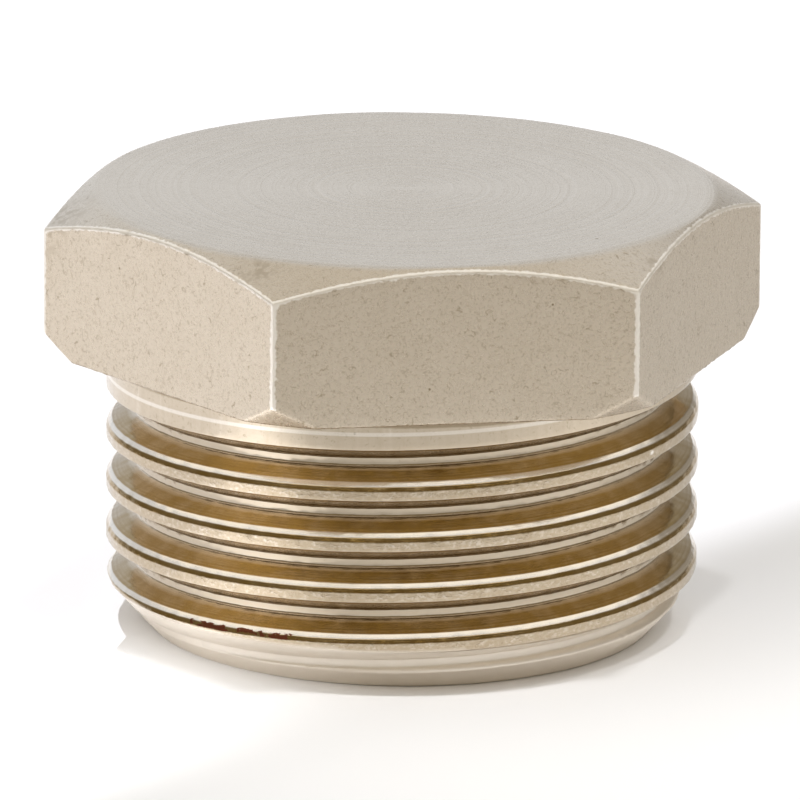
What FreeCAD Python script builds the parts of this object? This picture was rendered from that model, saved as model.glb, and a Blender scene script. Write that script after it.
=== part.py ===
import FreeCAD, Part
import math
import os
import Sketcher
from FreeCAD import Vector

# Threaded plug with a hexagon head, made in one piece.
# Z runs along the axis, head upwards. The origin is on the axis in the seating face under the head.
# A corner of the hexagon lies on the X axis. Sizes in mm and degrees.

doc = FreeCAD.newDocument("ThreadedPlug")
sizes = doc.addObject("Spreadsheet::Sheet", "Sizes")

SIZES = (
    # shank and thread
    ("thread_diameter", 20.76),
    ("thread_pitch", 1.814),
    ("thread_depth", 0.97),
    ("flank_angle", 27.5),
    ("root_width", 0.27),
    ("crest_bevel_depth", 0.18),
    ("crest_bevel_width", 0.2),
    ("shank_length", 9.95),
    ("end_face_diameter", 17.72),
    ("end_chamfer_length", 1.68),
    # last full turn of the groove and the part where it rises out of the shank
    ("groove_top_distance", 0.745),
    ("runout_turn", 0.25),
    ("runout_clearance", 0.05),
    ("tool_clearance", 0.05),
    # hexagon head
    ("across_flats", 22.0),
    ("head_height", 5.55),
    ("top_face_diameter", 21.54),
    ("top_chamfer_angle", 28.0),
    ("seat_face_diameter", 23.9),
    ("seat_chamfer_angle", 47.0),
    ("corner_radius", 0.1),
)
for row, (name, value) in enumerate(SIZES, start=1):
    sizes.set("A%d" % row, name)
    sizes.set("B%d" % row, "%g" % value)
    sizes.setAlias("B%d" % row, name)
doc.recompute()


def size(name):
    """The value of one named size."""
    return float(sizes.get(name))


body = doc.addObject("PartDesign::Body", "PlugBody")
body.Label = "plug_body"
doc.recompute()


def origin_plane(role):
    """One of the three planes through the origin of the body."""
    return next(item for item in body.Origin.OriginFeatures if item.Role == role)


def new_sketch(name, role):
    """An empty sketch on a plane through the origin."""
    sketch = body.newObject("Sketcher::SketchObject", name)
    sketch.AttachmentSupport = [(origin_plane(role), "")]
    sketch.MapMode = "FlatFace"
    return sketch


def closed_outline(sketch, corners):
    """Straight lines from corner to corner, joined at their ends. Level and upright lines stay so."""
    count = len(corners)
    for index in range(count):
        start = Vector(corners[index][0], corners[index][1], 0)
        end = Vector(corners[(index + 1) % count][0], corners[(index + 1) % count][1], 0)
        sketch.addGeometry(Part.LineSegment(start, end), False)
    for index in range(count):
        sketch.addConstraint(Sketcher.Constraint("Coincident", index, 2, (index + 1) % count, 1))
        across = corners[(index + 1) % count][0] - corners[index][0]
        along = corners[(index + 1) % count][1] - corners[index][1]
        if abs(along) < 1e-9:
            sketch.addConstraint(Sketcher.Constraint("Horizontal", index))
        elif abs(across) < 1e-9:
            sketch.addConstraint(Sketcher.Constraint("Vertical", index))


def bind(sketch, kind, places, value, name, expression):
    """A size of the sketch that follows the named sizes."""
    index = sketch.addConstraint(Sketcher.Constraint(kind, *places, value))
    sketch.renameConstraint(index, name)
    sketch.setExpression("Constraints." + name, expression)


def turned(kind, name, sketch):
    """A full turn of a sketch about the axis of the plug."""
    feature = body.newObject(kind, name)
    feature.Profile = (sketch, [""])
    feature.ReferenceAxis = (sketch, ["V_Axis"])
    feature.Angle = 360.0
    sketch.Visibility = False
    doc.recompute()
    return feature


# Shank: a round bar with a chamfer at its lower end.
radius = size("thread_diameter") / 2
end_radius = size("end_face_diameter") / 2
length = size("shank_length")
shank = new_sketch("ShankOutline", "XZ_Plane")
closed_outline(shank, (
    (0, 0),
    (radius, 0),
    (radius, -length + size("end_chamfer_length")),
    (end_radius, -length),
    (0, -length),
))
shank.addConstraint(Sketcher.Constraint("Coincident", 0, 1, -1, 1))
bind(shank, "DistanceX", (0, 1, 0, 2), radius, "shank_radius", "Sizes.thread_diameter / 2")
bind(shank, "DistanceX", (3, 2, 3, 1), end_radius, "end_radius", "Sizes.end_face_diameter / 2")
bind(shank, "DistanceY", (4, 1, 4, 2), length, "length", "Sizes.shank_length")
bind(shank, "DistanceY", (2, 2, 2, 1), size("end_chamfer_length"), "end_chamfer",
     "Sizes.end_chamfer_length")
turned("PartDesign::Revolution", "Shank", shank)

# Thread groove: a V with a narrow flat root, seen in the plane of the axis. Its lower edge is
# bevelled where it meets the crest; its upper edge is left sharp.
spread = math.tan(math.radians(size("flank_angle")))
root_radius = radius - size("thread_depth")
outside = radius + size("tool_clearance")
bevel_radius = radius - size("crest_bevel_depth")
bevel_spread = size("crest_bevel_width") / size("crest_bevel_depth") + spread
upper_root = -size("groove_top_distance") + size("root_width") / 2
lower_root = upper_root - size("root_width")
bevel_start = lower_root - (bevel_radius - root_radius) * spread

groove = new_sketch("GrooveOutline", "YZ_Plane")
closed_outline(groove, (
    (outside, upper_root + (outside - root_radius) * spread),
    (root_radius, upper_root),
    (root_radius, lower_root),
    (bevel_radius, bevel_start),
    (outside, bevel_start - (outside - bevel_radius) * bevel_spread),
))
bind(groove, "DistanceX", (-1, 1, 1, 1), root_radius, "root_radius",
     "Sizes.thread_diameter / 2 - Sizes.thread_depth")
bind(groove, "DistanceX", (-1, 1, 0, 1), outside, "outside",
     "Sizes.thread_diameter / 2 + Sizes.tool_clearance")
bind(groove, "DistanceX", (-1, 1, 3, 1), bevel_radius, "bevel_radius",
     "Sizes.thread_diameter / 2 - Sizes.crest_bevel_depth")
bind(groove, "DistanceY", (1, 1, -1, 1), -upper_root, "root_top",
     "Sizes.groove_top_distance - Sizes.root_width / 2")
bind(groove, "DistanceY", (2, 1, 1, 1), size("root_width"), "root_width", "Sizes.root_width")
bind(groove, "DistanceY", (1, 1, 0, 1), (outside - root_radius) * spread, "upper_flank",
     "(Sizes.thread_depth + Sizes.tool_clearance) * tan(Sizes.flank_angle * 1 deg)")
bind(groove, "DistanceY", (3, 1, 2, 1), lower_root - bevel_start, "lower_flank",
     "(Sizes.thread_depth - Sizes.crest_bevel_depth) * tan(Sizes.flank_angle * 1 deg)")
bind(groove, "DistanceY", (4, 1, 3, 1), (outside - bevel_radius) * bevel_spread, "crest_bevel",
     "(Sizes.tool_clearance + Sizes.crest_bevel_depth)"
     " * (Sizes.crest_bevel_width / Sizes.crest_bevel_depth + tan(Sizes.flank_angle * 1 deg))")
groove.Visibility = False
doc.recompute()


def groove_cut(name):
    """A right-hand helical cut along the groove outline about the axis of the plug."""
    cut = body.newObject("PartDesign::SubtractiveHelix", name)
    cut.Profile = (groove, [""])
    cut.ReferenceAxis = (groove, ["V_Axis"])
    cut.LeftHanded = False
    return cut


# The groove keeps its full depth from the outline down and out through the end of the shank.
thread = groove_cut("ThreadGroove")
thread.Mode = "pitch-height-angle"
thread.Reversed = True
thread.Pitch = size("thread_pitch")
thread.Height = length
thread.setExpression("Pitch", "Sizes.thread_pitch")
thread.setExpression("Height", "Sizes.shank_length")
doc.recompute()

# Upwards from the outline it climbs on and rises out of the shank before it reaches the head.
runout = groove_cut("ThreadRunout")
runout.Mode = "height-turns-growth"
runout.Reversed = False
runout.Turns = size("runout_turn")
runout.Height = size("thread_pitch") * size("runout_turn")
runout.Growth = (size("thread_depth") + size("runout_clearance")) / size("runout_turn")
runout.setExpression("Turns", "Sizes.runout_turn")
runout.setExpression("Height", "Sizes.thread_pitch * Sizes.runout_turn")
runout.setExpression("Growth", "(Sizes.thread_depth + Sizes.runout_clearance) / Sizes.runout_turn")
doc.recompute()

# Head: a hexagon with slightly rounded corners.
corner = size("across_flats") / math.sqrt(3)
hexagon = new_sketch("HexagonOutline", "XY_Plane")
points = [(corner * math.cos(math.radians(60 * side)), corner * math.sin(math.radians(60 * side)))
          for side in range(6)]
for side in range(6):
    start = Vector(points[side][0], points[side][1], 0)
    end = Vector(points[(side + 1) % 6][0], points[(side + 1) % 6][1], 0)
    hexagon.addGeometry(Part.LineSegment(start, end), False)
hexagon.addGeometry(Part.Circle(Vector(0, 0, 0), Vector(0, 0, 1), corner), True)
for side in range(6):
    hexagon.addConstraint(Sketcher.Constraint("Coincident", side, 2, (side + 1) % 6, 1))
hexagon.addConstraint(Sketcher.Constraint("Coincident", 6, 3, -1, 1))
for side in range(6):
    hexagon.addConstraint(Sketcher.Constraint("PointOnObject", side, 1, 6))
for side in range(5):
    hexagon.addConstraint(Sketcher.Constraint("Equal", side, side + 1))
hexagon.addConstraint(Sketcher.Constraint("PointOnObject", 0, 1, -1))
bind(hexagon, "Radius", (6,), corner, "corner_distance", "Sizes.across_flats / sqrt(3)")
head = body.newObject("PartDesign::Pad", "Head")
head.Profile = (hexagon, [""])
head.Length = size("head_height")
head.setExpression("Length", "Sizes.head_height")
hexagon.Visibility = False
doc.recompute()

upright = []
for number, edge in enumerate(head.Shape.Edges, start=1):
    ends = [vertex.Point for vertex in edge.Vertexes]
    if len(ends) == 2 and abs(math.hypot(ends[0].x, ends[0].y) - corner) < 1e-4:
        if math.hypot(ends[0].x - ends[1].x, ends[0].y - ends[1].y) < 1e-4:
            upright.append("Edge%d" % number)
rounding = body.newObject("PartDesign::Fillet", "CornerRounding")
rounding.Base = (head, upright)
rounding.Radius = size("corner_radius")
rounding.setExpression("Radius", "Sizes.corner_radius")
doc.recompute()


def corner_cut(name, face_radius, face_z, drop, bindings):
    """A cone turned onto the corners of the head, from a flat face to beyond the corners."""
    beyond = corner + size("tool_clearance")
    sketch = new_sketch(name + "Outline", "XZ_Plane")
    closed_outline(sketch, (
        (face_radius, face_z),
        (beyond, face_z),
        (beyond, face_z + (beyond - face_radius) * drop),
    ))
    bind(sketch, "DistanceX", (-1, 1, 0, 1), face_radius, "face_radius", bindings[0])
    bind(sketch, "DistanceX", (-1, 1, 1, 1), beyond, "beyond",
         "Sizes.across_flats / sqrt(3) + Sizes.tool_clearance")
    if face_z:
        bind(sketch, "DistanceY", (-1, 1, 0, 1), face_z, "face_height", bindings[1])
    else:
        sketch.addConstraint(Sketcher.Constraint("PointOnObject", 0, 1, -1))
    if drop < 0:
        places = (2, 1, 1, 1)
    else:
        places = (1, 1, 2, 1)
    bind(sketch, "DistanceY", places, abs(drop) * (beyond - face_radius), "slope", bindings[2])
    return turned("PartDesign::Groove", name, sketch)


corner_cut(
    "TopChamfer",
    size("top_face_diameter") / 2,
    size("head_height"),
    -math.tan(math.radians(size("top_chamfer_angle"))),
    (
        "Sizes.top_face_diameter / 2",
        "Sizes.head_height",
        "(Sizes.across_flats / sqrt(3) + Sizes.tool_clearance - Sizes.top_face_diameter / 2)"
        " * tan(Sizes.top_chamfer_angle * 1 deg)",
    ),
)
corner_cut(
    "SeatChamfer",
    size("seat_face_diameter") / 2,
    0.0,
    math.tan(math.radians(size("seat_chamfer_angle"))),
    (
        "Sizes.seat_face_diameter / 2",
        "",
        "(Sizes.across_flats / sqrt(3) + Sizes.tool_clearance - Sizes.seat_face_diameter / 2)"
        " * tan(Sizes.seat_chamfer_angle * 1 deg)",
    ),
)

for item in doc.Objects:
    if "Invalid" in item.State or "Error" in item.State:
        raise RuntimeError("%s did not build: %s" % (item.Name, item.State))
shape = body.Shape
if shape.isNull() or not shape.isValid() or len(shape.Solids) != 1:
    raise RuntimeError("the plug is not one valid solid")

os.makedirs("parts", exist_ok=True)
shape.exportStep("parts/" + body.Label + ".step")
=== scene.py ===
import math

import bpy
import numpy as np
from mathutils import Matrix, Vector


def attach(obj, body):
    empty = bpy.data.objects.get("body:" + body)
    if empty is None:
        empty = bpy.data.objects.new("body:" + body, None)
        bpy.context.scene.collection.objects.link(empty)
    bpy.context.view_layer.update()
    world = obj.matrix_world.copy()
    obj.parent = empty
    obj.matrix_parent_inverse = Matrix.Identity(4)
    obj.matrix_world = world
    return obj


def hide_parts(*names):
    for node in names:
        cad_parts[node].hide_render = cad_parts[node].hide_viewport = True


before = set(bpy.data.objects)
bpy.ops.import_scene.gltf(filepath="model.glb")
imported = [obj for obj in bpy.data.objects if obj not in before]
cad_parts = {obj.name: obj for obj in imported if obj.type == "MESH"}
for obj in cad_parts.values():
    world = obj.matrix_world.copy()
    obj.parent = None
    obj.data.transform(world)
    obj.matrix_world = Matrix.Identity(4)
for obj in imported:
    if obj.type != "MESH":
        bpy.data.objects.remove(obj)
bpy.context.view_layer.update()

# The plug stands on its end with the head up. The origin is on the axis, in the seating face.
# Sizes are in mm, as in the part; the meshes are written in metres.
MM = 0.001

ACROSS_FLATS = 22.0
HEAD_HEIGHT = 5.55
TOP_FACE_RADIUS = 10.77
TOP_CHAMFER_SLOPE = math.tan(math.radians(28.0))
SEAT_FACE_RADIUS = 11.95
SEAT_CHAMFER_SLOPE = math.tan(math.radians(47.0))
CORNER_RADIUS = 0.1

CREST_RADIUS = 10.38
THREAD_PITCH = 1.814
THREAD_DEPTH = 0.97
FLANK_SLOPE = math.tan(math.radians(27.5))
ROOT_WIDTH = 0.27
SHANK_LENGTH = 9.95
END_FACE_RADIUS = 8.86
END_CHAMFER_LENGTH = 1.68
RUNOUT_TURN = 0.25
# Where the groove leaves its full depth, and its height there.
RUNOUT_ANGLE = math.pi / 2
RUNOUT_HEIGHT = -0.745
RUNOUT_CLEARANCE = 0.05
# The shank runs this far up inside the head, and the underside this far in, where they close.
HIDDEN_TOP = 0.25
HIDDEN_RADIUS = 8.0

# Wear on the head: the rounding of its worn upper edges and how uneven it is, and the rounding
# of its other edges.
WORN_ROUNDING = 0.15
WORN_UNEVENNESS = 0.035
TOP_ROUNDING = 0.9
LOWER_ROUNDING = 0.24
SEAT_ROUNDING = 0.08
# Where the upper edge was knocked: degrees round the axis, half width in degrees, height in mm.
NICKS = (
    (-78.9, 0.5, 0.10), (-71.8, 0.9, 0.14), (-62.0, 0.6, 0.12), (-58.5, 0.4, 0.10),
    (-128.0, 0.5, 0.12), (-141.5, 0.7, 0.12), (-150.5, 0.5, 0.10), (-159.0, 1.0, 0.14),
    (-20.0, 0.6, 0.10), (-34.0, 0.8, 0.10), (12.0, 0.7, 0.12), (41.0, 0.5, 0.10),
    (77.0, 0.9, 0.12), (104.0, 0.6, 0.10), (149.0, 0.8, 0.12),
)

# Wear on the thread. The groove's lower edge is worn down to a steep bevel and a shallow one:
# the depth under the crest, and the height over the unworn edge, where the steep one starts,
# where they meet and where the shallow one ends.
WORN_EDGE = ((0.195, 0.102), (0.066, -0.045), (0.0, -0.2))
# The crests are worn down by this much, with fine and broad unevenness.
CREST_WEAR = 0.007
FINE_UNEVENNESS = 0.006
BROAD_UNEVENNESS = 0.003
# Where brass shows through: its share over the height above the middle of the groove. It is
# full on the shallow bevel and on the flank that faces up, and slight on the other flank.
BRASS_HEIGHTS = (-0.86, -0.81, -0.72, -0.67, -0.60, -0.53, -0.24, -0.17, 0.15, 0.22, 0.58, 0.635)
BRASS_SHARES = (0.0, 1.0, 1.0, 0.0, 0.0, 1.0, 1.0, 0.0, 0.0, 0.1, 0.1, 0.0)


# ---------------------------------------------------------------- shapes

def waviness(angle, seed, fewest, most, waves):
    """A repeatable wavy value round the axis, about -1 to 1: a sum of cosines with whole
    numbers of waves from fewest to most, each with its own phase and a random share."""
    source = np.random.default_rng(seed)
    counts = source.integers(fewest, most + 1, waves)
    phases = source.uniform(0, 2 * np.pi, waves)
    shares = source.uniform(0.4, 1.0, waves)
    total = np.cos(np.multiply.outer(angle, counts) + phases) @ shares
    return total / math.sqrt((shares ** 2).sum() / 2) / 1.6


def rounded_profile(corners, roundings, straight_steps, corner_steps):
    """Radius and height along a profile in the plane of the axis, one profile a column.

    The profile runs straight from corner to corner. Each inner corner is cut back along both
    its sides by rounding times the tangent of half its turn, at most 0.45 of either side, and
    bridged by a quadratic curve that leaves and arrives in line with the sides."""
    columns = np.broadcast(*[value for pair in corners for value in pair]).shape
    corners = np.array([[np.broadcast_to(value, columns) for value in pair] for pair in corners])
    side = np.diff(corners, axis=0)
    length = np.maximum(np.hypot(side[:, 0], side[:, 1]), 1e-6)
    way = side / length[:, None]
    turn = np.arccos(np.clip((way[:-1] * way[1:]).sum(axis=1), -1.0, 1.0))
    wanted = np.array([np.broadcast_to(value, columns) for value in roundings])
    cut = np.minimum(wanted * np.tan(turn / 2), 0.45 * np.minimum(length[:-1], length[1:]))
    uncut = np.zeros_like(cut[:1])
    cut = np.concatenate([uncut, cut, uncut])
    rows = []
    for number in range(len(side)):
        start = corners[number] + way[number] * cut[number]
        end = corners[number + 1] - way[number] * cut[number + 1]
        share = np.linspace(0, 1, straight_steps[number] + 2)[:, None, None]
        rows.append(start * (1 - share) + end * share)
        if number < len(side) - 1:
            share = np.linspace(0, 1, corner_steps[number] + 2)[1:-1, None, None]
            corner = corners[number + 1]
            leave = corner + way[number + 1] * cut[number + 1]
            rows.append(end * (1 - share) ** 2 + corner * 2 * share * (1 - share)
                        + leave * share ** 2)
    path = np.concatenate(rows)
    return path[:, 0], path[:, 1]


def mesh_piece(name, points, quads, triangles):
    """A smooth-shaded mesh from points in mm, four-cornered faces and triangles."""
    mesh = bpy.data.meshes.new(name)
    corners = np.concatenate([quads.ravel(), triangles.ravel()]).astype(np.int32)
    sizes = np.repeat([4, 3], [len(quads), len(triangles)]).astype(np.int32)
    mesh.vertices.add(len(points))
    mesh.vertices.foreach_set("co", (points * MM).astype(np.float32).ravel())
    mesh.loops.add(len(corners))
    mesh.loops.foreach_set("vertex_index", corners)
    mesh.polygons.add(len(sizes))
    mesh.polygons.foreach_set("loop_start", (np.cumsum(sizes) - sizes).astype(np.int32))
    mesh.update(calc_edges=True)
    mesh.polygons.foreach_set("use_smooth", np.ones(len(sizes), bool))
    piece = bpy.data.objects.new(name, mesh)
    bpy.context.scene.collection.objects.link(piece)
    return piece


def round_the_axis(radius, angle, height):
    """Points from radius, angle and height, one row of three numbers each."""
    return np.stack(np.broadcast_arrays(radius * np.cos(angle), radius * np.sin(angle), height),
                    axis=-1).reshape(-1, 3)


def hexagon_radius(angle):
    """Distance from the axis to the side of the head: half the width across flats divided by
    the cosine of the angle from the middle of the flat, and near a corner the far side of a
    circle of the corner radius that touches both flats."""
    half = ACROSS_FLATS / 2
    sector = math.pi / 3
    from_corner = (angle + sector / 2) % sector - sector / 2
    from_flat = sector / 2 - np.abs(from_corner)
    centre = (half - CORNER_RADIUS) / math.cos(sector / 2)
    inside = np.maximum(CORNER_RADIUS ** 2 - (centre * np.sin(from_corner)) ** 2, 0)
    circle = centre * np.cos(from_corner) + np.sqrt(inside)
    touching = math.atan((half - CORNER_RADIUS) * math.tan(sector / 2) / half)
    return np.where(from_flat > touching, circle, half / np.cos(from_flat))


def nicks(angle):
    """Extra rounding of the upper edge where it was knocked: the sum of a bell curve round the
    axis at each place."""
    total = np.zeros_like(angle)
    for place, width, depth in NICKS:
        turn = (angle - math.radians(place) + math.pi) % (2 * math.pi) - math.pi
        total += depth * np.exp(-(turn / math.radians(width)) ** 2)
    return total


def head_angles():
    """Angles round the head, close together at the six corners."""
    near = np.radians([0, 0.05, 0.1, 0.15, 0.2, 0.25, 0.3, 0.37, 0.46, 0.58, 0.74])
    half = np.concatenate([near, np.radians(np.linspace(0.9, 30, 90))])
    sector = np.concatenate([half, math.pi / 3 - half[1:-1][::-1]])
    return np.concatenate([sector + side * math.pi / 3 for side in range(6)])


def edge_distances(angle, radius, height, side, seat):
    """How far each point of the head lies from its worn upper edges and upright corners, and
    from the rim of its underside, in mm: straight to the edge, or along the side to the corner."""
    sector = math.pi / 3
    from_corner = (angle + sector / 2) % sector - sector / 2
    upper_edge = HEAD_HEIGHT - (side - TOP_FACE_RADIUS) * TOP_CHAMFER_SLOPE
    lower_edge = (side - seat) * SEAT_CHAMFER_SLOPE
    past = np.maximum(height - upper_edge, 0) + np.maximum(lower_edge - height, 0)
    corner = np.hypot(ACROSS_FLATS / math.sqrt(3) * from_corner, 3 * past)
    upper = np.minimum(np.hypot(side - radius, upper_edge - height), corner)
    return upper, np.hypot(seat - radius, height)


def head_surface():
    """The hexagon head: a profile of top face, cone, side, seat chamfer and underside, carried
    round the axis with its side on the hexagon, and closed by a point on the axis each end."""
    angle = head_angles()
    side = hexagon_radius(angle)
    seat = np.minimum(SEAT_FACE_RADIUS, side - 0.05 - 0.015 * waviness(angle, 9, 20, 170, 60))
    edge = WORN_ROUNDING + WORN_UNEVENNESS * waviness(angle, 3, 5, 160, 60) + nicks(angle)
    radius, height = rounded_profile(
        (
            (0.02, HEAD_HEIGHT),
            (TOP_FACE_RADIUS, HEAD_HEIGHT),
            (side, HEAD_HEIGHT - (side - TOP_FACE_RADIUS) * TOP_CHAMFER_SLOPE),
            (side, (side - seat) * SEAT_CHAMFER_SLOPE),
            (seat, 0.0),
            (HIDDEN_RADIUS, 0.0),
        ),
        (TOP_ROUNDING, edge, LOWER_ROUNDING, SEAT_ROUNDING),
        (12, 9, 15, 3, 2),
        (6, 6, 5, 4),
    )
    rows, columns = radius.shape
    top = rows * columns
    ends = [[0, 0, HEAD_HEIGHT], [0, 0, 0]]
    points = np.concatenate([round_the_axis(radius, angle, height), ends])
    first = np.arange(rows - 1)[:, None] * columns
    column = np.arange(columns)
    after = (column + 1) % columns
    quads = np.stack([first + column, first + columns + column,
                      first + columns + after, first + after], axis=-1).reshape(-1, 4)
    last = (rows - 1) * columns
    triangles = np.concatenate([
        np.stack([np.full(columns, top), column, after], axis=1),
        np.stack([np.full(columns, top + 1), last + after, last + column], axis=1),
    ])
    piece = mesh_piece("hexagon_head", points, quads, triangles)
    # The distance from the upper edges sets where the plate paints worn edges brighter, partly as a
    # painted highlight. The rim distance and the share under the head set where it paints shade.
    upper, lower = edge_distances(angle, radius, height, side, seat)
    under = np.clip((side - radius) / 0.25, 0, 1) * (height < 1)
    for name, value in (("edge", upper), ("rim", lower), ("under", under)):
        value = np.concatenate([np.minimum(value, 1.0).ravel(), [1.0, 1.0]])
        piece.data.attributes.new(name, "FLOAT", "POINT").data.foreach_set(
            "value", value.astype(np.float32))
    return piece


def groove_section():
    """Height from the middle of the groove and depth under the crest, over one pitch from the
    middle of the crest above to the middle of the crest below. The upper edge of the groove
    is sharp, the root a narrow flat with small radii, and the lower edge worn down to two
    bevels."""
    half_open = ROOT_WIDTH / 2 + THREAD_DEPTH * FLANK_SLOPE
    worn = [(depth, height - half_open) for depth, height in WORN_EDGE]
    depth, height = rounded_profile(
        (
            (np.zeros(1), THREAD_PITCH / 2),
            (0.0, half_open),
            (THREAD_DEPTH, ROOT_WIDTH / 2),
            (THREAD_DEPTH, -ROOT_WIDTH / 2 - 0.03),
            *worn,
            (0.0, -THREAD_PITCH / 2),
        ),
        (0.03, 0.08, 0.09, 0.15, 0.2, 0.2),
        (1, 2, 0, 2, 0, 0, 0),
        (1, 1, 2, 2, 2, 2),
    )
    return height[:, 0], depth[:, 0]


def groove_middle(angle):
    """Height of the middle of one turn of the right-handed groove, which rises by one pitch a
    turn. The other turns are whole pitches above and below."""
    return RUNOUT_HEIGHT + THREAD_PITCH * (angle - RUNOUT_ANGLE) / (2 * math.pi)


def from_groove(angle, height):
    """Height above the middle of the nearest turn of the groove, at most half a pitch."""
    above = height - groove_middle(angle) + THREAD_PITCH / 2
    return above % THREAD_PITCH - THREAD_PITCH / 2


def unevenness(angle, height, seed, finest, waves):
    """A repeatable uneven value over the shank, about -1 to 1: a sum of cosines that run round
    the axis a whole number of times, up to finest, and along it at a like wavelength."""
    source = np.random.default_rng(seed)
    around = source.integers(-finest, finest + 1, waves)
    along = source.uniform(-finest, finest, waves) / CREST_RADIUS
    phases = source.uniform(0, 2 * np.pi, waves)
    total = 0
    for count, rate, phase in zip(around, along, phases):
        total = total + np.cos(count * angle + rate * height + phase)
    return total / math.sqrt(waves)


def chamfer_radius(height):
    """Distance from the axis to the cone of the end chamfer, carried on above it."""
    from_end = (height + SHANK_LENGTH) / END_CHAMFER_LENGTH
    return END_FACE_RADIUS + from_end * (CREST_RADIUS - END_FACE_RADIUS)


def shank_radius(angle, height, section):
    """Distance from the axis to the shank's surface.

    It is the crest's radius less the depth of the groove, or the radius of the end chamfer
    where that is smaller. Above the height where it runs out, the groove grows shallower
    along its turn until it is gone. Crests and edges are a little uneven, and less so on the
    land under the head."""
    from_middle = from_groove(angle, height)
    depth = np.interp(-from_middle, -section[0], section[1])
    turned = (height - from_middle - RUNOUT_HEIGHT) / THREAD_PITCH
    depth = depth - np.maximum(turned / RUNOUT_TURN, 0) * (THREAD_DEPTH + RUNOUT_CLEARANCE)
    rough = CREST_WEAR + FINE_UNEVENNESS * unevenness(angle, height, 21, 120, 70)
    rough = rough + BROAD_UNEVENNESS * unevenness(angle, height, 22, 30, 30)
    share = np.interp(height, (-1.6, -0.9), (1.0, 0.25))
    depth = np.maximum(depth + rough * share, 0.0)
    return np.minimum(CREST_RADIUS - depth, chamfer_radius(height) - rough)


def groove_places(angle, height):
    """For each point of the shank its distance from the middle of the groove, and its shares
    of the brass that shows through below the run-out, of the crest, of the land above the first
    groove, of the steep bevel and of both bevels. The land's lower edge follows the groove for
    three quarters of a turn and comes back down along the run-out."""
    from_middle = from_groove(angle, height)
    brass = np.interp(from_middle, BRASS_HEIGHTS, BRASS_SHARES)
    crest = np.interp(np.abs(from_middle), (0.63, 0.66), (0.0, 1.0))
    crest = crest * np.interp(from_middle, (-0.82, -0.78, 0), (1.0, 0.0, 1.0))
    crest = np.where(from_middle < -0.82, 1.0, crest)
    turned = (height - from_middle - RUNOUT_HEIGHT) / THREAD_PITCH / RUNOUT_TURN
    quarters = (-math.pi, RUNOUT_ANGLE, math.pi)
    lowest = groove_middle(-math.pi)
    land_edge = np.interp(angle, quarters, (lowest, RUNOUT_HEIGHT, lowest)) + 0.62
    land = np.clip((height - land_edge) / 0.05, 0, 1)
    bevel = np.interp(from_middle, (-0.69, -0.66, -0.56, -0.53), (0, 1, 1, 0))
    bevels = np.interp(from_middle, (-0.89, -0.83, -0.66, -0.61), (0, 1, 1, 0))
    return np.abs(from_middle), brass * np.clip(1 - turned, 0, 1), crest, land, bevel, bevels


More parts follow.
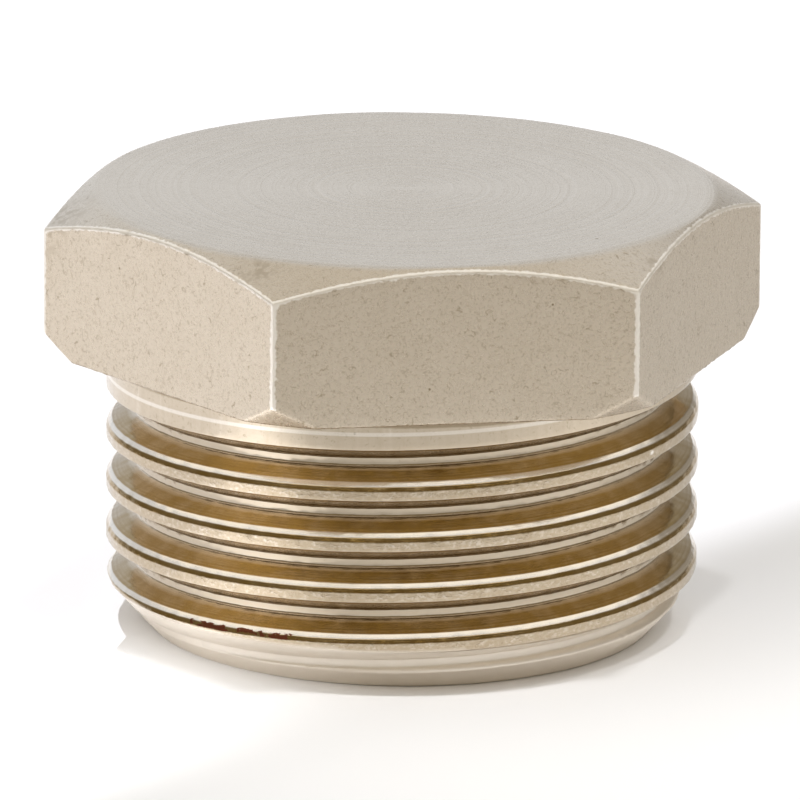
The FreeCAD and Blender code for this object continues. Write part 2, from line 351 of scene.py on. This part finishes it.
def shank_surface():
    """The threaded shank: one strip a pitch high, with the section of the groove across it,
    that winds down the shank with the thread. Its rows stop on a level ring under the head and
    on another above the end face, and from there plain rings run in to the axis."""
    columns = 600
    section = groove_section()
    across = len(section[0]) - 1
    top, bottom = HIDDEN_TOP, 0.05 - SHANK_LENGTH
    turns = 8
    row = np.arange(turns * across + 1)
    angle = np.arange(columns) * 2 * math.pi / columns
    height = groove_middle(angle)[:, None] + THREAD_PITCH + section[0][row % across]
    height = height - THREAD_PITCH * (row // across)
    height = np.clip(height, bottom, top)
    radius = shank_radius(angle[:, None], height, section)
    thread = round_the_axis(radius, angle[:, None], height)

    # Rows past either level ring share that ring's point, and the last column is followed by
    # the first one a pitch lower on the strip.
    number = np.arange(columns * len(row)).reshape(columns, len(row))
    number = np.where(height >= top, columns * len(row) + np.arange(columns)[:, None], number)
    number = np.where(height <= bottom, columns * (len(row) + 1) + np.arange(columns)[:, None],
                      number)
    follow = np.roll(number, -1, axis=0)
    follow[-1] = np.concatenate([np.full(across, number[0, 0]), number[0, :-across]])
    quads = np.stack([number[:, :-1], number[:, 1:], follow[:, 1:], follow[:, :-1]],
                     axis=-1).reshape(-1, 4)
    left_gone = quads[:, 0] == quads[:, 1]
    right_gone = quads[:, 2] == quads[:, 3]
    triangles = [
        quads[left_gone & ~right_gone][:, 1:],
        quads[right_gone & ~left_gone][:, :3],
    ]
    quads = [quads[~left_gone & ~right_gone]]

    rim = shank_radius(angle, np.full(columns, bottom), section)
    rings = [
        round_the_axis(shank_radius(angle, np.full(columns, top), section), angle, top),
        round_the_axis(rim, angle, bottom),
        round_the_axis(rim - 0.03, angle, bottom - 0.035),
        round_the_axis(rim - 0.08, angle, -SHANK_LENGTH),
        round_the_axis(rim - 0.16, angle, -SHANK_LENGTH),
        round_the_axis(0.05, angle, -SHANK_LENGTH),
        [[0, 0, top], [0, 0, -SHANK_LENGTH]],
    ]
    points = np.concatenate([thread] + rings)
    column = np.arange(columns)
    after = (column + 1) % columns
    ring = columns * (len(row) + np.arange(6))
    for upper, lower in zip(ring[1:-1], ring[2:]):
        quads.append(np.stack([upper + column, lower + column, lower + after, upper + after],
                              axis=-1))
    middle = ring[-1] + columns
    triangles.append(np.stack([np.full(columns, middle), ring[0] + column, ring[0] + after],
                              axis=-1))
    triangles.append(np.stack([np.full(columns, middle + 1), ring[-1] + after, ring[-1] + column],
                              axis=-1))
    quads = np.concatenate(quads)
    triangles = np.concatenate(triangles)

    # Points that no face uses are left out.
    used = np.zeros(len(points), bool)
    used[quads.ravel()] = True
    used[triangles.ravel()] = True
    renumber = np.cumsum(used) - 1
    points = points[used]
    piece = mesh_piece("threaded_shank", points, renumber[quads], renumber[triangles])
    places = groove_places(np.arctan2(points[:, 1], points[:, 0]), points[:, 2])
    radius = np.hypot(points[:, 0], points[:, 1])
    threaded = (radius > END_FACE_RADIUS) & (radius < chamfer_radius(points[:, 2]) - 0.04)
    for name, value in zip(("across", "flank", "crest", "land", "bevel", "bevels"), places):
        value = np.where(threaded, value, float(name == "across"))
        piece.data.attributes.new(name, "FLOAT", "POINT").data.foreach_set(
            "value", value.astype(np.float32))
    return piece


# ---------------------------------------------------------------- plating

class Finish:
    """A metal material in the making: short words for the nodes that its finish is made of.
    Lengths are in mm on the object's own coordinates."""

    def __init__(self, name):
        self.material = bpy.data.materials.new(name)
        self.material.use_nodes = True
        self.tree = self.material.node_tree
        self.shader = self.tree.nodes["Principled BSDF"]
        self.shader.inputs["Metallic"].default_value = 1.0
        place = self.add("ShaderNodeTexCoord").outputs["Object"]
        self.place = self.moved(place, scale=(1000, 1000, 1000))
        self.split = self.add("ShaderNodeSeparateXYZ", {"Vector": self.place})

    def add(self, kind, inputs=None, **settings):
        node = self.tree.nodes.new(kind)
        for name, value in settings.items():
            setattr(node, name, value)
        for name, value in (inputs or {}).items():
            if isinstance(value, bpy.types.NodeSocket):
                self.tree.links.new(value, node.inputs[name])
            else:
                node.inputs[name].default_value = value
        return node

    def moved(self, place, scale=(1, 1, 1), shift=(0, 0, 0)):
        return self.add("ShaderNodeMapping", {"Vector": place, "Scale": scale, "Location": shift}
                        ).outputs["Vector"]

    def noise(self, size, detail=3.0, place=None, rough=0.55):
        """Cloudy noise with patches of about a size in mm."""
        inputs = {"Vector": place or self.place, "Scale": 1 / size, "Detail": detail,
                  "Roughness": rough}
        return self.add("ShaderNodeTexNoise", inputs).outputs["Fac"]

    def attribute(self, name):
        return self.add("ShaderNodeAttribute", attribute_name=name).outputs["Fac"]

    def lines(self, distance, spacing):
        """Noise that changes only with one distance, for turning marks."""
        inputs = {"W": distance, "Scale": 1 / spacing, "Detail": 4.0, "Roughness": 0.7}
        return self.add("ShaderNodeTexNoise", inputs, noise_dimensions="1D").outputs["Fac"]

    def span(self, value, low, high, to_low=0.0, to_high=1.0):
        """A value taken from one range to another with a smooth start and end."""
        inputs = {"Value": value, "From Min": low, "From Max": high, "To Min": to_low,
                  "To Max": to_high}
        return self.add("ShaderNodeMapRange", inputs, interpolation_type="SMOOTHSTEP"
                        ).outputs["Result"]

    def sum(self, operation, first, second, third=None):
        node = self.add("ShaderNodeMath", operation=operation)
        for number, value in enumerate((first, second, third)):
            if isinstance(value, bpy.types.NodeSocket):
                self.tree.links.new(value, node.inputs[number])
            elif value is not None:
                node.inputs[number].default_value = value
        return node.outputs["Value"]

    def colour(self, share, first, second):
        """From the first colour to the second by a share."""
        node = self.add("ShaderNodeMix", {"Factor": share}, data_type="RGBA")
        for name, value in (("A", first), ("B", second)):
            socket = [place for place in node.inputs if place.name == name and place.type == "RGBA"]
            if isinstance(value, bpy.types.NodeSocket):
                self.tree.links.new(value, socket[0])
            else:
                socket[0].default_value = (*value, 1)
        return [place for place in node.outputs if place.type == "RGBA"][0]

    def scratches(self, size, thin, seed, cover):
        """Short fine marks: the lines where one cloudy noise passes its middle value, kept
        only in the patches where another one is high."""
        place = self.moved(self.place, shift=(seed, 2 * seed, 3 * seed))
        across = self.sum("ABSOLUTE", self.sum("SUBTRACT", self.noise(size, 2.0, place), 0.5), 0)
        line = self.span(across, thin, thin * 0.35)
        patch = self.moved(self.place, shift=(4 * seed, seed, 2 * seed))
        return self.sum("MULTIPLY", line, self.span(self.noise(size * 0.55, 1.0, patch),
                                                    cover, cover + 0.05))

    def vector(self, operation, first, second=None):
        node = self.add("ShaderNodeVectorMath", operation=operation)
        for number, value in enumerate((first, second)):
            if isinstance(value, bpy.types.NodeSocket):
                self.tree.links.new(value, node.inputs[number])
            elif value is not None:
                node.inputs[number].default_value = value
        return node.outputs

    def pits(self, places, fade=0.6):
        """Single round marks, each 1 near its place and 0 past its width."""
        total = 0.0
        for place, width in places:
            away = self.vector("DISTANCE", self.place, place)["Value"]
            total = self.sum("ADD", total, self.span(away, width, width * fade))
        return total

    def strokes(self, ends, width):
        """Straight marks: near the nearest point of the line from one end to the other, found
        by projecting onto the line and stopping at its ends."""
        total = 0.0
        for start, end in ends:
            along = Vector(end) - Vector(start)
            from_start = self.vector("SUBTRACT", self.place, start)["Vector"]
            share = self.vector("DOT_PRODUCT", from_start, along / along.length_squared)["Value"]
            share = self.sum("MINIMUM", self.sum("MAXIMUM", share, 0.0), 1.0)
            reach = self.add("ShaderNodeVectorMath", {"Scale": share}, operation="SCALE")
            reach.inputs[0].default_value = along
            away = self.vector("DISTANCE", from_start, reach.outputs["Vector"])["Value"]
            total = self.sum("ADD", total, self.span(away, width, width * 0.5))
        return total

    def finish(self, colour, rough, relief, depth):
        """Colour, roughness and a relief whose full height is depth in mm."""
        self.tree.links.new(colour, self.shader.inputs["Base Color"])
        self.tree.links.new(rough, self.shader.inputs["Roughness"])
        bump = self.add("ShaderNodeBump", {"Height": relief, "Distance": depth * MM,
                                           "Strength": 1.0})
        self.tree.links.new(bump.outputs["Normal"], self.shader.inputs["Normal"])
        return self.material


PALE_NICKEL = (0.705, 0.62, 0.51)
DEEP_NICKEL = (0.59, 0.505, 0.395)
# Pale nickel of worn metal. It is also used as a painted highlight on the head's edges and the
# thread's steep bevel, and as painted light on the end chamfer.
WEAR_AND_HIGHLIGHT_NICKEL = (0.95, 0.90, 0.83)
# Dull brown of scratches and dots. It is also used as painted shade at the root of the groove.
MARK_AND_SHADE_BROWN = (0.30, 0.235, 0.15)
# Brown of painted shade along the head's lower rim, on its seat chamfer and on the land under it.
PAINTED_SHADE_BROWN = (0.24, 0.17, 0.09)
WARM_BRASS = (0.30, 0.19, 0.05)
CHIPPED = (0.16, 0.05, 0.025)


# Single dark pits: where each one is, in mm, and how wide it is.
HEAD_PITS = (
    ((5.45, -7.75, 5.55), 0.07), ((12.0, 1.2, 4.35), 0.06), ((12.05, 1.1, 3.2), 0.06),
    ((3.35, -11.0, 4.15), 0.05), ((-0.9, -11.0, 1.3), 0.05), ((-8.2, -8.0, 3.1), 0.07),
    ((-10.6, -3.7, 4.0), 0.06), ((9.2, 6.6, 2.4), 0.06), ((-3.1, 11.0, 3.3), 0.07),
)
SHANK_PITS = (((6.05, -8.45, -0.42), 0.09), ((-3.3, -9.85, -0.5), 0.05),
              ((8.2, -6.4, -3.2), 0.06))
# Scuffed patches at three corners of the head, in mm, and how far they reach.
SCUFFS = (((-12.2, 0.2, 4.9), 1.9), ((-6.6, -9.3, 5.2), 0.9), ((7.3, -9.2, 4.9), 0.8))
# Where the lowest turn is chipped, in mm, and how far the chips reach.
CHIPS = (((-7.9, -6.73, -8.05), 1.1), ((-6.1, -8.4, -7.98), 1.5))
# Two bright strokes scraped across the first turn: the two ends of each, in mm.
STROKES = (((7.27, -6.43, -1.95), (7.52, -7.04, -2.39)),
           ((7.71, -6.05, -2.08), (7.59, -7.01, -2.37)))


def head_finish():
    """Satin nickel plate: fine speckle, short dull scratches and dots, softly uneven, with
    turning marks round the axis on the top face, worn edges painted brighter, partly as a
    painted highlight, and painted shade along the lower rim and on the seat chamfer."""
    make = Finish("satin_nickel")
    speckle = make.noise(0.16, 4.0, rough=0.7)
    blotch = make.noise(1.6, 3.0)
    top = make.span(make.split.outputs["Z"], HEAD_HEIGHT - 0.08, HEAD_HEIGHT - 0.01)
    flat = make.vector("MULTIPLY", make.place, (1, 1, 0))["Vector"]
    radius = make.vector("LENGTH", flat)["Value"]
    rings = make.sum("MULTIPLY", make.sum("SUBTRACT", make.lines(radius, 0.22), 0.5), top)
    hair = make.sum("MAXIMUM", make.scratches(0.34, 0.03, 3.0, 0.56),
                    make.scratches(0.2, 0.04, 11.0, 0.55))
    dots = make.span(make.noise(0.07, 1.0, make.moved(make.place, shift=(7, 7, 7))), 0.72, 0.80)
    marks = make.sum("MAXIMUM", hair, dots)
    marks = make.sum("MULTIPLY", marks, make.span(top, 0, 1, 0.34, 0.15))
    deep = make.sum("MULTIPLY", make.scratches(0.7, 0.012, 21.0, 0.57), 0.55)
    marks = make.sum("MAXIMUM", marks, make.sum("MULTIPLY", deep, make.span(top, 1, 0)))
    marks = make.sum("MAXIMUM", marks, make.pits(HEAD_PITS))
    scuffs = make.sum("MULTIPLY", make.pits(SCUFFS, 0.3), make.span(make.noise(0.3), 0.42, 0.6))
    marks = make.sum("MAXIMUM", marks, make.sum("MULTIPLY", scuffs, 0.4))
    tone = make.sum("MULTIPLY_ADD", speckle, 1.1, -0.3)
    tone = make.sum("MULTIPLY_ADD", blotch, 0.5, tone)
    tone = make.sum("MULTIPLY_ADD", rings, 0.9, tone)
    colour = make.colour(tone, DEEP_NICKEL, PALE_NICKEL)
    colour = make.colour(marks, colour, MARK_AND_SHADE_BROWN)
    ragged = make.noise(0.22, 4.0, make.moved(make.place, shift=(5, 1, 8)))
    edge = make.sum("MULTIPLY_ADD", ragged, 0.22, make.attribute("edge"))
    # Worn edges painted pale: partly real wear, partly a painted highlight where the rounded edges
    # would catch the light.
    worn = make.span(edge, 0.245, 0.185)
    # Painted shade: dark brown along the lower rim of the head and on the seat chamfer under it.
    rim = make.sum("MULTIPLY_ADD", ragged, 0.14, make.attribute("rim"))
    dull = make.sum("MAXIMUM", make.span(rim, 0.165, 0.10, 0.0, 0.7),
                    make.sum("MULTIPLY", make.attribute("under"), 0.4))
    colour = make.colour(dull, colour, PAINTED_SHADE_BROWN)
    colour = make.colour(worn, colour, WEAR_AND_HIGHLIGHT_NICKEL)
    rough = make.sum("MULTIPLY_ADD", speckle, 0.16, 0.2)
    rough = make.sum("MULTIPLY_ADD", marks, 0.12, rough)
    rough = make.sum("MULTIPLY_ADD", worn, 0.22, rough)
    relief = make.sum("MULTIPLY_ADD", speckle, 0.5, make.sum("MULTIPLY", marks, -0.4))
    relief = make.sum("MULTIPLY_ADD", rings, 3.0, relief)
    return make.finish(colour, rough, relief, 0.012)


def shank_finish():
    """Bright nickel plate over the turned thread: fine marks along the groove, streaks down
    the land under the head, mottled crests, worn bevels painted brighter, partly as a painted
    highlight, painted shade at the root of the groove and in a band under the head, a rough end
    chamfer painted lighter as painted light, and brass showing through on the flanks."""
    make = Finish("turned_nickel")
    flank = make.attribute("flank")
    height = make.split.outputs["Z"]
    land = make.attribute("land")
    crest = make.sum("MAXIMUM", make.attribute("crest"), land)
    speckle = make.noise(0.14, 4.0, rough=0.7)
    blotch = make.noise(0.7, 4.0)
    across = make.sum("MULTIPLY_ADD", make.noise(1.5, 2.0), 0.05, make.attribute("across"))
    turned = make.lines(across, 0.035)
    streaks = make.noise(0.25, 3.0, make.moved(make.place, scale=(1, 1, 0.05)))
    streaks = make.sum("MULTIPLY", make.sum("SUBTRACT", streaks, 0.5), land)
    lumps = make.noise(0.16, 3.0, make.moved(make.place, scale=(1, 1, 1.6)), 0.6)
    lumps = make.sum("MULTIPLY", make.span(lumps, 0.36, 0.66, -0.5, 0.5),
                     make.sum("SUBTRACT", crest, land))
    tone = make.sum("MULTIPLY_ADD", speckle, 0.9, -0.2)
    tone = make.sum("MULTIPLY_ADD", blotch, 0.6, tone)
    tone = make.sum("MULTIPLY_ADD", streaks, 1.2, tone)
    tone = make.sum("MULTIPLY_ADD", lumps, 0.9, tone)
    colour = make.colour(tone, DEEP_NICKEL, PALE_NICKEL)
    colour = make.colour(make.span(tone, 0.75, 1.3, 0.0, 0.8), colour, WEAR_AND_HIGHLIGHT_NICKEL)
    marks = make.sum("MULTIPLY", make.scratches(0.3, 0.03, 5.0, 0.57), crest)
    dots = make.span(make.noise(0.08, 1.0, make.moved(make.place, shift=(3, 9, 5))), 0.72, 0.79)
    marks = make.sum("MULTIPLY", make.sum("MAXIMUM", marks, dots), 0.4)
    marks = make.sum("MAXIMUM", marks, make.pits(SHANK_PITS))
    thin = make.sum("MULTIPLY_ADD", land, -0.18, make.sum("MULTIPLY", crest, 0.3))
    colour = make.colour(thin, colour, WARM_BRASS)
    brass = make.sum("MULTIPLY_ADD", turned, 0.5, make.span(blotch, 0.3, 0.7, 0.8, 0.6))
    colour = make.colour(make.sum("MULTIPLY", flank, brass), colour, WARM_BRASS)
    colour = make.colour(marks, colour, MARK_AND_SHADE_BROWN)
    # The steep bevel is painted brighter: partly worn metal, partly a painted highlight.
    colour = make.colour(make.sum("MULTIPLY", make.attribute("bevel"), 0.55), colour, WEAR_AND_HIGHLIGHT_NICKEL)
    # Painted shade: the root of the groove is darkened towards the brown of the marks.
    across = make.attribute("across")
    colour = make.colour(make.span(across, 0.2, 0.13, 0.0, 0.4), colour, MARK_AND_SHADE_BROWN)
    colour = make.colour(make.span(across, 0.04, 0.015, 0.0, 0.45), colour, MARK_AND_SHADE_BROWN)
    chamfered = make.span(height, -8.2, -8.4)
    # Painted light: the end chamfer is painted paler so that it looks lit, though it faces the
    # shaded floor under the plug.
    colour = make.colour(make.sum("MULTIPLY", chamfered, 0.7), colour, WEAR_AND_HIGHLIGHT_NICKEL)
    chips = make.sum("MULTIPLY", make.pits(CHIPS, 0.75), make.attribute("bevels"))
    flat = make.moved(make.place, scale=(1, 1, 1.8))
    chips = make.sum("MULTIPLY_ADD", make.noise(0.35, 4.0, flat), 2.0, chips)
    chips = make.span(chips, 1.95, 2.02)
    colour = make.colour(chips, colour, CHIPPED)
    colour = make.colour(make.strokes(STROKES, 0.11), colour, WEAR_AND_HIGHLIGHT_NICKEL)
    # Painted shade: a ragged dark brown band on the land just under the head.
    ragged = make.sum("MULTIPLY_ADD", blotch, 0.08, height)
    colour = make.colour(make.span(ragged, -0.26, -0.19, 0.0, 0.6), colour, PAINTED_SHADE_BROWN)
    rough = make.sum("MULTIPLY_ADD", speckle, 0.08, 0.05)
    rough = make.sum("MULTIPLY_ADD", crest, 0.08, rough)
    rough = make.sum("MULTIPLY_ADD", chamfered, 0.45, rough)
    downward = make.sum("MULTIPLY", make.span(flank, 0.04, 0.08), make.span(flank, 0.3, 0.12))
    rough = make.sum("MULTIPLY_ADD", downward, 0.16, rough)
    rough = make.sum("MULTIPLY_ADD", chips, 0.3, rough)
    relief = make.sum("MULTIPLY_ADD", speckle, 0.35, make.sum("MULTIPLY", marks, -0.3))
    relief = make.sum("MULTIPLY_ADD", turned, 0.25, relief)
    relief = make.sum("MULTIPLY_ADD", streaks, 0.5, relief)
    relief = make.sum("MULTIPLY_ADD", lumps, 0.5, relief)
    return make.finish(colour, rough, relief, 0.008)


# ---------------------------------------------------------------- studio

# In metres.
FLOOR_REACH = 1.2
FLOOR_GAP = 0.00002
FLOOR_COLOUR = (0.84, 0.84, 0.85)

# Lamps: name, angle to the right of the camera and elevation in degrees, distance in metres,
# aim on the floor in mm, beam in degrees, softness of the beam's rim, radius in metres, power
# in watts and colour. The key lights the floor beside and behind the plug from straight above
# the middle of its pool. The others light small pools in front.
WHITE = (1.0, 1.0, 1.0)
LAMPS = (
    ("key", -132.4, 70.7, 0.593, (-144.8, 132.2), 38.7, 0.03, 0.002, 8.2, (0.96, 0.97, 1.05)),
    ("edge", -50, 17, 0.15, (-25, -22), 10.5, 0.7, 0.001, 1.2, WHITE),
    ("fill", 62, 60, 0.25, (31, -14), 10, 0.6, 0.02, 1.8, WHITE),
    ("foot", 18, 75, 0.35, (0, -17), 6.8, 0.9, 0.02, 3.3, (0.97, 0.98, 1.0)),
)

# The room: the tone all round, then each region laid over it, by the direction of its middle
# (angle to the right of the camera and elevation), the angles from there between which it
# fades out, and its tone.
ROOM_TONE = (0.34, 0.30, 0.23)
ROOM = (
    # A narrow band of light half way up.
    (0, 90, 52, 55, (1.7, 1.65, 1.55)),
    (0, 90, 43, 46, ROOM_TONE),
    # A soft ceiling behind, with a bright bow that reaches over the front.
    (180, 68, 54, 62, (0.79, 0.81, 0.86)),
    (180, 68, 47, 52, (1.28, 1.24, 1.15)),
    (180, 68, 24, 34, (0.775, 0.745, 0.685)),
    (180, 22, 34, 46, (0.79, 0.81, 0.86)),
    # Brown low down towards the camera, and pale low down behind but for one side.
    (0, 0, 28, 48, (0.29, 0.24, 0.15)),
    (180, 12, 24, 52, (0.85, 0.895, 0.965)),
    (136, 4, 16, 40, (0.32, 0.29, 0.24)),
)


def floor():
    """A wide level floor just under the end face."""
    mesh = bpy.data.meshes.new("floor")
    reach = FLOOR_REACH
    level = -SHANK_LENGTH * MM - FLOOR_GAP
    mesh.from_pydata([(-reach, -reach, level), (reach, -reach, level), (reach, reach, level),
                      (-reach, reach, level)], [], [(0, 1, 2, 3)])
    piece = bpy.data.objects.new("floor", mesh)
    bpy.context.scene.collection.objects.link(piece)
    material = bpy.data.materials.new("pale_floor")
    material.use_nodes = True
    shader = material.node_tree.nodes["Principled BSDF"]
    shader.inputs["Base Color"].default_value = (*FLOOR_COLOUR, 1)
    shader.inputs["Roughness"].default_value = 0.9
    shader.inputs["Specular IOR Level"].default_value = 0.1
    mesh.materials.append(material)


def from_camera(azimuth, elevation):
    """A direction from the plug, by its angle to the right of the camera and its elevation."""
    turn = math.radians(azimuth) - math.pi / 2 - CAMERA_YAW
    rise = math.radians(elevation)
    return Vector((math.cos(rise) * math.cos(turn), math.cos(rise) * math.sin(turn),
                   math.sin(rise)))


def lamp(name, azimuth, elevation, distance, aim, beam, softness, radius, power, colour):
    """A soft round lamp at a direction and distance from the plug, aimed at a point of the
    floor given in mm to the right of the plug and behind it as the camera sees them. It
    lights the floor, and the metal shows the lit floor and the room, not the lamp."""
    data = bpy.data.lights.new(name, "SPOT")
    data.spot_size = math.radians(beam)
    data.spot_blend = softness
    data.shadow_soft_size = radius
    data.energy = power
    data.color = colour
    piece = bpy.data.objects.new(name, data)
    place = from_camera(azimuth, elevation) * distance
    target = from_camera(90, 0) * aim[0] * MM + from_camera(180, 0) * aim[1] * MM
    target.z = -SHANK_LENGTH * MM
    piece.location = place
    piece.rotation_euler = (place - target).to_track_quat("Z", "Y").to_euler()
    piece.visible_glossy = False
    bpy.context.scene.collection.objects.link(piece)


def studio_air():
    """The room round the floor, where each region fades from its middle direction into what
    lies round it."""
    world = bpy.data.worlds.new("studio")
    bpy.context.scene.world = world
    world.use_nodes = True
    tree = world.node_tree
    way = tree.nodes.new("ShaderNodeTexCoord").outputs["Generated"]

    def near(azimuth, elevation, inner, outer):
        """1 within the inner angle of a direction, fading to 0 at the outer angle."""
        along = tree.nodes.new("ShaderNodeVectorMath")
        along.operation = "DOT_PRODUCT"
        tree.links.new(way, along.inputs[0])
        along.inputs[1].default_value = from_camera(azimuth, elevation)
        share = tree.nodes.new("ShaderNodeMapRange")
        share.interpolation_type = "SMOOTHSTEP"
        tree.links.new(along.outputs["Value"], share.inputs["Value"])
        share.inputs["From Min"].default_value = math.cos(math.radians(outer))
        share.inputs["From Max"].default_value = math.cos(math.radians(inner))
        return share.outputs["Result"]

    def blend(share, first, tone):
        node = tree.nodes.new("ShaderNodeMixRGB")
        tree.links.new(share, node.inputs["Fac"])
        tree.links.new(first, node.inputs["Color1"])
        node.inputs["Color2"].default_value = (*tone, 1)
        return node.outputs["Color"]

    colour = tree.nodes.new("ShaderNodeRGB").outputs["Color"]
    colour.default_value = (*ROOM_TONE, 1)
    for azimuth, elevation, inner, outer, tone in ROOM:
        colour = blend(near(azimuth, elevation, inner, outer), colour, tone)
    tree.links.new(colour, tree.nodes["Background"].inputs["Color"])


# The camera stands a little to the left of the front flat and looks down by 15 degrees.
CAMERA_ELEVATION = 0.2658
CAMERA_YAW = 0.1657
CAMERA_ROLL = -0.0081
CAMERA_DISTANCE = 0.5
CAMERA_LENS = 642.87
FRAME_WIDTH = 800
ORIGIN_PLACE = (402.44, 341.29)


def camera():
    """The camera: level axes turned by the yaw, tipped down by the elevation, then turned a
    little more so that the origin falls on its place in the frame, and rolled."""
    elevation, yaw = CAMERA_ELEVATION, CAMERA_YAW
    level = Matrix.Rotation(-yaw, 3, "Z")
    right = level @ Vector((1, 0, 0))
    ahead = level @ Vector((0, math.cos(elevation), -math.sin(elevation)))
    up = level @ Vector((0, math.sin(elevation), math.cos(elevation)))
    data = bpy.data.cameras.new("camera")
    data.sensor_width = 36.0
    data.lens = CAMERA_LENS
    data.clip_start = 0.05
    data.clip_end = 20.0
    piece = bpy.data.objects.new("camera", data)
    place = -CAMERA_DISTANCE * ahead
    pixels = CAMERA_LENS / data.sensor_width * FRAME_WIDTH
    across = math.atan2(ORIGIN_PLACE[0] - FRAME_WIDTH / 2, pixels)
    upward = math.atan2(FRAME_WIDTH / 2 - ORIGIN_PLACE[1], pixels)
    aside = right * math.cos(across) + ahead * math.sin(across)
    ahead = ahead * math.cos(across) - right * math.sin(across)
    raised = up * math.cos(upward) + ahead * math.sin(upward)
    ahead = ahead * math.cos(upward) - up * math.sin(upward)
    roll = CAMERA_ROLL
    right = aside * math.cos(roll) - raised * math.sin(roll)
    up = aside * math.sin(roll) + raised * math.cos(roll)
    turn = Matrix((right, up, -ahead)).transposed()
    piece.matrix_world = Matrix.Translation(place) @ turn.to_4x4()
    bpy.context.scene.collection.objects.link(piece)
    bpy.context.scene.camera = piece


camera()
for piece, plate in ((head_surface(), head_finish()), (shank_surface(), shank_finish())):
    piece.data.materials.append(plate)
    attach(piece, "root")
    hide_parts("plug_body")

floor()
studio_air()
for values in LAMPS:
    lamp(*values)
bpy.context.scene.view_settings.view_transform = "Standard"
